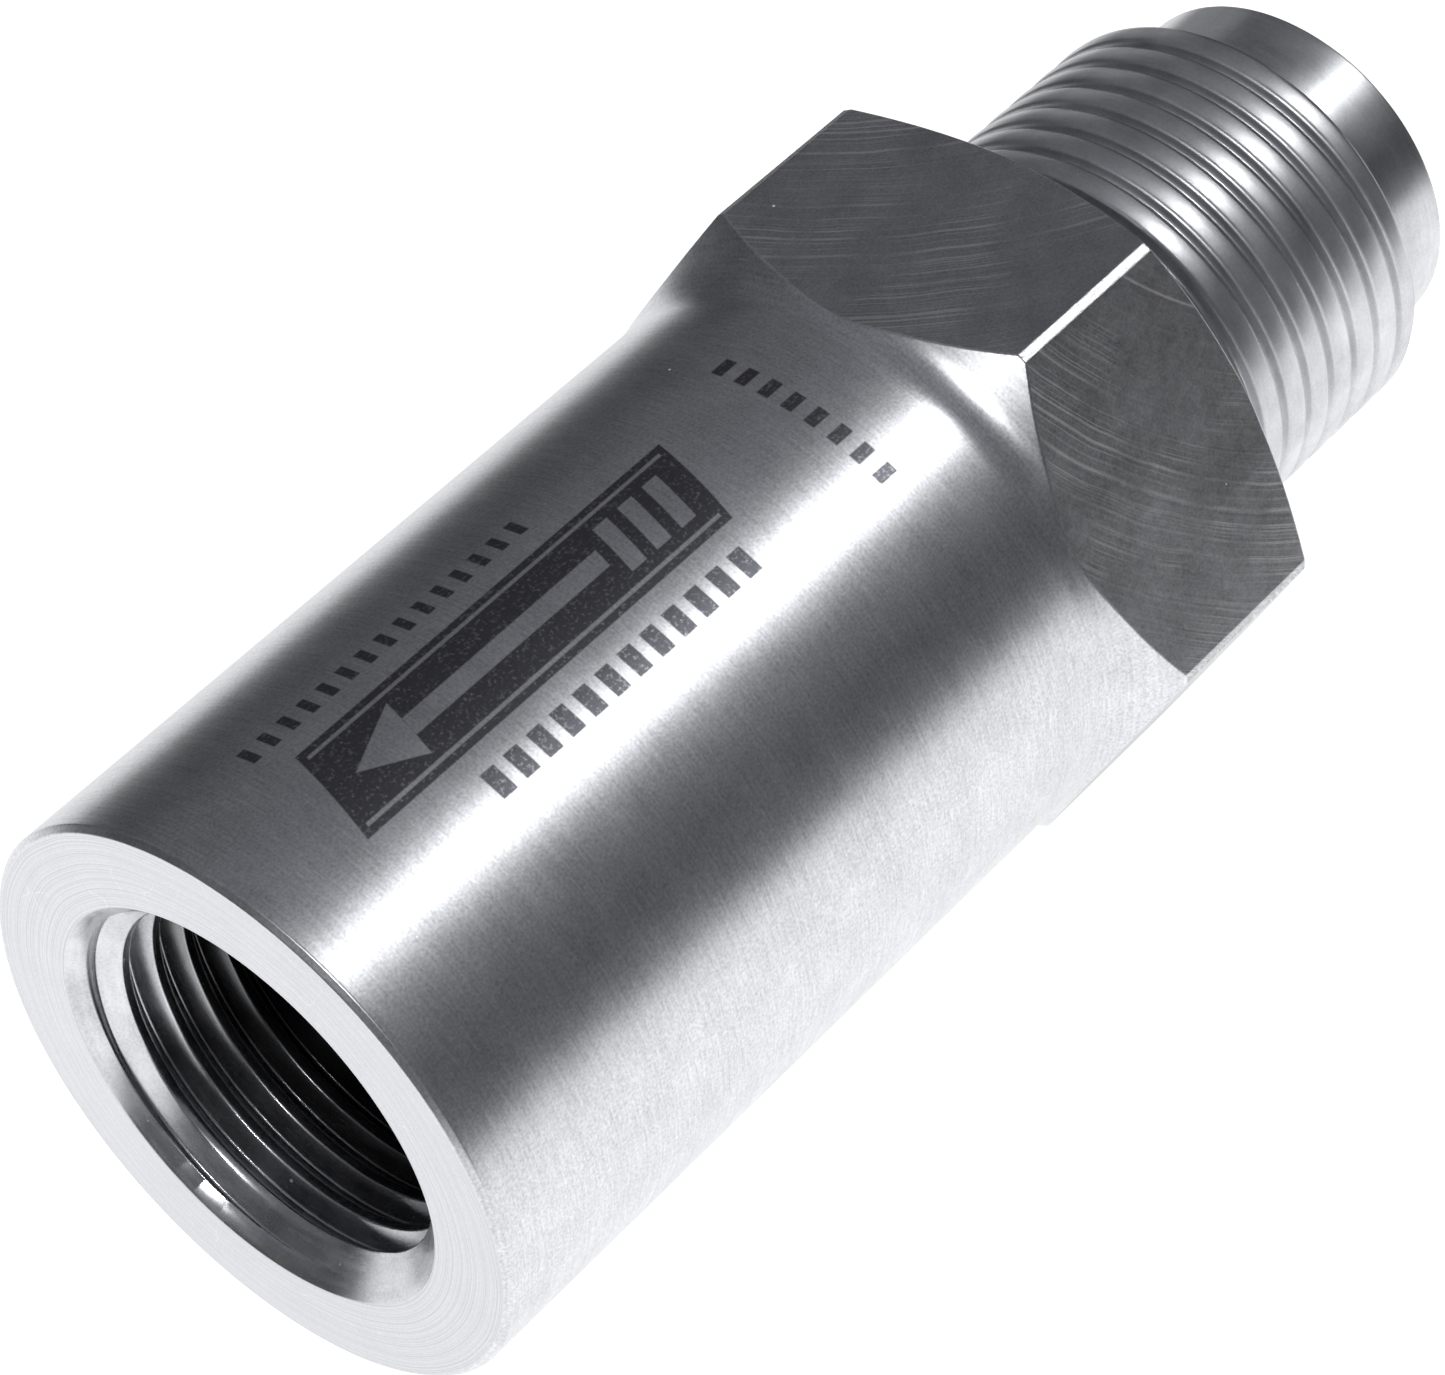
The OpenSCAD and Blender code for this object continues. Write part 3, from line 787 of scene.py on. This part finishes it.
def build_insert():
    """A drilled plug, with a cone for the ball at its back and a wider one at its front."""
    low, high = (v[0] for v in node_box("seat_insert"))
    hole_r = 0.8
    seat_r, seat_depth, seat_chamfer = 1.9, 1.1, 0.2
    mouth_r, mouth_depth, mouth_chamfer = 2.6, 1.4, 0.3
    hole_middle = 2.1
    path = [(low + hole_middle, hole_r),
            (low + seat_depth, hole_r, 0.05),
            (low, seat_r, 0.05),
            (low, INSERT_R - seat_chamfer, 0.06),
            (low + seat_chamfer, INSERT_R, 0.06),
            (high - mouth_chamfer, INSERT_R, 0.08),
            (high, INSERT_R - mouth_chamfer, 0.08),
            (high, mouth_r, 0.06),
            (high - mouth_depth, hole_r, 0.15)]
    take_place(lathe("seat_insert_turned", path, insert_steel), "seat_insert", "housing")


def build_ring(name, node, body_name, material, edge):
    """A flat ring, such as a washer, a shim or the gasket."""
    low, high = node_box(node)
    hole = RING_HOLES[node]
    path = [(0.5 * (low[0] + high[0]), hole), (low[0], hole, edge), (low[0], high[2], edge),
            (high[0], high[2], edge), (high[0], hole, edge)]
    take_place(lathe(name, path, material, 160), node, body_name)


def build_ball_and_plunger():
    """The ball, and the plunger whose head is cupped round it."""
    low, high = node_box("valve_ball")
    centre, radius = 0.5 * (low[0] + high[0]), high[2]
    middle = [(centre - radius * math.cos(a), radius * math.sin(a))
              for a in np.linspace(0, TURN / 2, 41)[1:-1]]
    path = [(centre - radius, 0)] + middle + [(centre + radius, 0)]
    take_place(lathe("valve_ball_ground", path, ball_steel, 96), "valve_ball", "lifter")

    low, high = node_box("plunger")
    head_r, head_length, stem_r, chamfer = high[2], 1.7, 2.2, 0.4
    back, front = low[0], high[0]
    head_x = front - head_length
    play = 0.01
    cup_r = radius + play
    edge_angle = math.acos((centre - front) / cup_r)
    cup = [(centre - cup_r * math.cos(a), cup_r * math.sin(a))
           for a in np.linspace(edge_angle, 0, 14)]
    stem = [(back, 0), (back, stem_r - chamfer, 0.08), (back + chamfer, stem_r, 0.08)]
    head = [(head_x, stem_r, 0.15), (head_x, head_r, 0.08), (front - chamfer, head_r, 0.08),
            (front, head_r - chamfer, 0.08)]
    path = stem + head + cup[:-1] + [(centre - cup_r, 0)]
    take_place(lathe("plunger_turned", path, insert_steel), "plunger", "lifter")


def build_spring_seats():
    """Two flanges with a spigot inside the spring: the front one is closed, the rear one drilled."""
    spigot_r, lead, flange_length = 3.3, 0.6, 1.5

    low, high = (v[0] for v in node_box("front_spring_seat"))
    flange_r, chamfer = 5.6, 0.3
    pocket_r, pocket_mouth_r, pocket_depth = 2.5, 2.6, 0.7
    face = high - flange_length
    path = [(low, 0),
            (low, spigot_r - lead, 0.1),
            (low + lead, spigot_r, 0.1),
            (face, spigot_r, 0.12),
            (face, flange_r, 0.08),
            (high - chamfer, flange_r, 0.08),
            (high, flange_r - chamfer, 0.08),
            (high, pocket_mouth_r, 0.06),
            (high - pocket_depth, pocket_r, 0.1),
            (high - pocket_depth, 0)]
    take_place(lathe("front_seat_turned", path, insert_steel), "front_spring_seat", "lifter")

    low, high = (v[0] for v in node_box("rear_spring_seat"))
    flange_r, chamfer, hole_r, hole_middle = 5.9, 0.2, 1.6, 1
    face = low + flange_length
    path = [(low + hole_middle, hole_r),
            (low, hole_r, 0.1),
            (low, flange_r, 0.08),
            (face - chamfer, flange_r, 0.06),
            (face, flange_r - chamfer, 0.06),
            (face, spigot_r, 0.12),
            (high - lead, spigot_r, 0.1),
            (high, spigot_r - lead, 0.1),
            (high, hole_r, 0.1)]
    take_place(lathe("rear_seat_turned", path, insert_steel), "rear_spring_seat", "spring_stack")


def build_screw(name, node, body_name, key, socket_depth=None, bore_r=None):
    """A headless screw: hexagonal socket, chamfered ends and an M14 x 1 thread.

    The socket goes right through, unless it has a depth and a bore goes on behind it.
    """
    low, high = (v[0] for v in node_box(node))
    shape = Turned(hex_angles(key / 2, 0.12, 4, 22))
    socket = hex_radius(shape.angles, key / 2, 0.12)[0]
    end_r, end_chamfer, bore_chamfer = 6.1, 0.6, 0.3
    mouth_r = key / 2 / math.cos(TURN / 12) + bore_chamfer
    mouth_depth = mouth_r - socket
    seam_x = high - 0.8
    socket_front = [(low + mouth_depth, socket, 0.08)]
    if socket_depth is None:
        inside = [(seam_x, socket)]
        back = [(high, mouth_r, 0.06), (high - mouth_depth, socket, 0.08), (seam_x, socket)]
    else:
        socket_x = low + socket_depth
        inside = [(seam_x, bore_r), (socket_x, bore_r, 0.08), (socket_x - 0.25, socket, 0.08)]
        back = [(high, bore_r + bore_chamfer, 0.06), (high - bore_chamfer, bore_r, 0.06),
                (seam_x, bore_r)]
    front_path = inside + socket_front + [(low, mouth_r, 0.06), (low, end_r - end_chamfer)]
    front = rounded(front_path, 3)
    first = shape.ring(*front[0])
    last = shape.strip(front[1:], 0, first)
    low_ring = shape.strip([(low, end_r)], 0, last)
    high_ring = shape.ring(high, end_r)
    thread = ADJUSTER_THREAD
    play, depth = 0.05, 0.6134
    # the screw's crest is narrower than the groove it sits in, and half the difference centres it
    centred = 0.0125
    crest = thread["root"] - play
    profile = thread_profile(thread["pitch"], crest - depth * thread["pitch"], crest,
                             thread["pitch"] * 0.1, 0.05, 2)

    def limit(r, x):
        return np.minimum(r, end_r + np.minimum(x - low, high - x))

    shape.helix(low_ring, high_ring, low, high, profile, thread["pitch"],
                thread["x"] + centred, limit, 0, False)
    back_rings = rounded([(high, end_r - end_chamfer)] + back, 3)
    last = shape.strip(back_rings[:-1], 0, high_ring)
    shape.join(last, first, 0)
    take_place(shape.finish(name, [black_steel]), node, body_name)


def build_spring():
    """The coil spring in two halves, which meet half way along its turns."""
    low, high = node_box("main_spring")
    wire_r = 1.1
    coil_r = high[2] - wire_r
    turns, closed = 5, 1
    length = high[0] - low[0]
    closed_rise = closed * 2 * wire_r
    open_rise = length - 2 * wire_r - 2 * closed_rise
    steps, sides = 40, 24
    ground = 0.12

    def centre(turn):
        if turn < closed:
            return low[0] + wire_r + turn / closed * closed_rise
        if turn < turns - closed:
            return low[0] + wire_r + closed_rise + (turn - closed) / (turns - 2 * closed) * open_rise
        return high[0] - wire_r - (turns - turn) / closed * closed_rise

    def half(name, begin, end):
        count = int(round((end - begin) * steps))
        around = np.arange(sides) * TURN / sides
        points = []
        for i in range(count + 1):
            turn = begin + (end - begin) * i / count
            r = coil_r + wire_r * np.cos(around)
            x = centre(turn) + wire_r * np.sin(around)
            # the closed ends are ground flat against their seats
            x = np.clip(x, low[0] + ground, high[0] - ground)
            angle = turn * TURN
            points.append(np.stack([x, r * math.cos(angle), r * math.sin(angle)], -1))
        table = np.arange((count + 1) * sides).reshape(count + 1, sides)
        follow = np.roll(table, -1, axis=1)
        faces = np.stack([table[:-1], follow[:-1], follow[1:], table[1:]], -1).reshape(-1, 4)
        caps = [table[0][::-1].tolist(), table[-1].tolist()]
        mesh = bpy.data.meshes.new(name)
        mesh.from_pydata((np.concatenate(points) * MM).tolist(), [], faces.tolist() + caps)
        mesh.polygons.foreach_set("use_smooth", [True] * len(faces) + [False] * 2)
        for edge in mesh.edges:
            a, b = edge.vertices
            edge.use_edge_sharp = max(a, b) < sides or min(a, b) >= count * sides
        mesh.materials.append(wire_steel)
        obj = bpy.data.objects.new(name, mesh)
        bpy.context.scene.collection.objects.link(obj)
        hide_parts("main_spring")
        # the ring where the halves meet stays put in both of them
        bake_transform(obj)

    half("spring_rear_half", 0, turns / 2)
    half("spring_front_half", turns / 2, turns)


def soften_cad_node(node, material, width):
    """A CAD node that stays: its edges get a small bevel and it gets a finish."""
    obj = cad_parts[node]
    weld = obj.modifiers.new("weld", "WELD")
    weld.merge_threshold = 0.002 * MM
    bevel = obj.modifiers.new("edges", "BEVEL")
    bevel.width = width * MM
    bevel.segments = 2
    bevel.limit_method = "ANGLE"
    bevel.angle_limit = math.radians(40)
    bevel.harden_normals = True
    obj.data.materials.clear()
    obj.data.materials.append(material)


build_insert()
build_ring("seat_gasket_ring", "seat_gasket", "housing", copper, 0.06)
build_ball_and_plunger()
build_spring_seats()
build_ring("thick_shim_ring", "thick_shim", "spring_stack", shim_steel, 0.04)
build_ring("thin_shim_ring", "thin_shim", "spring_stack", shim_steel, 0.04)
build_ring("thrust_washer_ring", "thrust_washer", "lock_washer", copper, 0.08)
build_screw("adjuster_screw_threaded", "adjuster_screw", "adjuster", key=6, socket_depth=3.5,
            bore_r=2.2)
build_screw("lock_screw_threaded", "lock_screw", "lock", key=8)
build_spring()
soften_cad_node("guide_sleeve", bronze, 0.05)
soften_cad_node("retaining_ring", wire_steel, 0.05)


# ---------------------------------------------------------------- camera

camera_data = bpy.data.cameras.new("camera")
camera_data.lens = 126.6
camera_data.sensor_width = 36
camera = bpy.data.objects.new("camera", camera_data)
bpy.context.scene.collection.objects.link(camera)
bpy.context.scene.camera = camera
CAMERA_PLACE = Vector((-111.67, -91.24, 129.80)) * MM
CAMERA_FORWARD = Vector((0.5073, 0.4944, -0.7058)).normalized()
CAMERA_RIGHT = Vector((0.6381, -0.7661, -0.0780))
camera_right = (CAMERA_RIGHT - CAMERA_FORWARD * CAMERA_RIGHT.dot(CAMERA_FORWARD)).normalized()
camera_up = camera_right.cross(CAMERA_FORWARD)
turn = Matrix((camera_right, camera_up, -CAMERA_FORWARD)).transposed()
camera.matrix_world = Matrix.Translation(CAMERA_PLACE) @ turn.to_4x4()
camera_data.clip_start = 0.005
camera_data.clip_end = 10


# ---------------------------------------------------------------- floor, world and lights

def direction(azimuth, elevation):
    """Unit vector from an azimuth, 0 along -Y and 90 along +X, and an elevation, in degrees."""
    a, e = math.radians(azimuth), math.radians(elevation)
    return Vector((math.sin(a) * math.cos(e), -math.cos(a) * math.cos(e), math.sin(e)))


def area_light(name, azimuth, elevation, distance, size, power, glossy=True, diffuse=True,
               length=None):
    """A soft light aimed at the object. Its length lies in the plane that holds the X axis."""
    data = bpy.data.lights.new(name, "AREA")
    data.shape = "ELLIPSE"
    data.size = size
    data.size_y = size if length is None else length
    data.energy = power
    light = bpy.data.objects.new(name, data)
    bpy.context.scene.collection.objects.link(light)
    back = direction(azimuth, elevation)
    light.location = back * distance
    light.rotation_mode = "QUATERNION"
    if length is None:
        light.rotation_quaternion = back.to_track_quat("Z", "Y")
    else:
        side = back.cross(Vector((1, 0, 0))).normalized()
        turn = Matrix((side, back.cross(side), back)).transposed()
        light.rotation_quaternion = turn.to_quaternion()
    light.visible_glossy = glossy
    light.visible_diffuse = diffuse
    light.visible_camera = False
    # a light that only shows as a highlight needs no bounced rays, which would only add noise
    if not diffuse:
        data.cycles.use_multiple_importance_sampling = False
        data.cycles.max_bounces = 0


# a disc under the middle of the valve, as high as the lowest flat
FLOOR_Z = body_low[2] * MM
FLOOR_RADIUS = 0.115
FLOOR_X = -0.013

# the room that the metal mirrors: its colour from straight down, 0, to straight up, 1
ROOM = [(0.0, (0.1, 0.1, 0.1)), (0.5, (0.065, 0.065, 0.07)), (0.66, (0.07, 0.07, 0.078)),
        (0.76, (0.14, 0.14, 0.14)), (0.85, (0.13, 0.13, 0.145)), (1.0, (0.2, 0.2, 0.22))]


def build_floor():
    """A plain white disc. It glows, so it shows no shadow and lights the valve from below."""
    mesh = bpy.data.meshes.new("floor")
    steps = 96
    ring = [(FLOOR_RADIUS * math.cos(i * TURN / steps) + FLOOR_X,
             FLOOR_RADIUS * math.sin(i * TURN / steps), FLOOR_Z) for i in range(steps)]
    mesh.from_pydata(ring, [], [list(range(steps))])
    floor = bpy.data.objects.new("floor", mesh)
    bpy.context.scene.collection.objects.link(floor)
    material = bpy.data.materials.new("floor_white")
    material.use_nodes = True
    shader = material.node_tree.nodes["Principled BSDF"]
    shader.inputs["Base Color"].default_value = (0.5, 0.5, 0.5, 1)
    shader.inputs["Roughness"].default_value = 1
    shader.inputs["Specular IOR Level"].default_value = 0
    shader.inputs["Emission Color"].default_value = (1, 1, 1, 1)
    shader.inputs["Emission Strength"].default_value = 1.0
    mesh.materials.append(material)


def build_world():
    """White behind the object for the camera, and a dim room for everything else."""
    world = bpy.data.worlds.new("world")
    bpy.context.scene.world = world
    world.use_nodes = True
    tree = world.node_tree
    nodes, links = tree.nodes, tree.links
    nodes.clear()
    coordinates = nodes.new("ShaderNodeTexCoord")
    split = nodes.new("ShaderNodeSeparateXYZ")
    links.new(coordinates.outputs["Generated"], split.inputs[0])
    height = nodes.new("ShaderNodeMapRange")
    height.inputs["From Min"].default_value = -1
    links.new(split.outputs["Z"], height.inputs["Value"])
    ramp = nodes.new("ShaderNodeValToRGB")
    ramp.color_ramp.elements.remove(ramp.color_ramp.elements[1])
    for i, (place, color) in enumerate(ROOM):
        stop = ramp.color_ramp.elements[0] if i == 0 else ramp.color_ramp.elements.new(place)
        stop.position = place
        stop.color = (*color, 1)
    links.new(height.outputs[0], ramp.inputs[0])
    room = nodes.new("ShaderNodeBackground")
    links.new(ramp.outputs[0], room.inputs["Color"])
    paper = nodes.new("ShaderNodeBackground")
    paper.inputs["Color"].default_value = (1, 1, 1, 1)
    path = nodes.new("ShaderNodeLightPath")
    mix = nodes.new("ShaderNodeMixShader")
    links.new(path.outputs["Is Camera Ray"], mix.inputs[0])
    links.new(room.outputs[0], mix.inputs[1])
    links.new(paper.outputs[0], mix.inputs[2])
    output = nodes.new("ShaderNodeOutputWorld")
    links.new(mix.outputs[0], output.inputs["Surface"])


build_floor()
build_world()
bpy.context.scene.view_settings.view_transform = "Standard"
# the key light, which draws the long bright stripe
area_light("key", azimuth=60.3, elevation=52.4, distance=0.6, size=0.06, power=0.66,
           diffuse=False, length=0.26)
# a second one from the return end, which lights the flare, the rim and the port's threads
area_light("return_glint", azimuth=-70, elevation=43.4, distance=0.6, size=0.05, power=0.75,
           diffuse=False)
# a small weak light beside the nose, where a pale card would stand
area_light("nose_card", azimuth=134.7, elevation=12.2, distance=0.114, size=0.045, power=0.0015,
           diffuse=False)
# a soft light from above, which has no highlight
area_light("overhead", azimuth=0, elevation=90, distance=0.8, size=0.9, power=3, glossy=False)
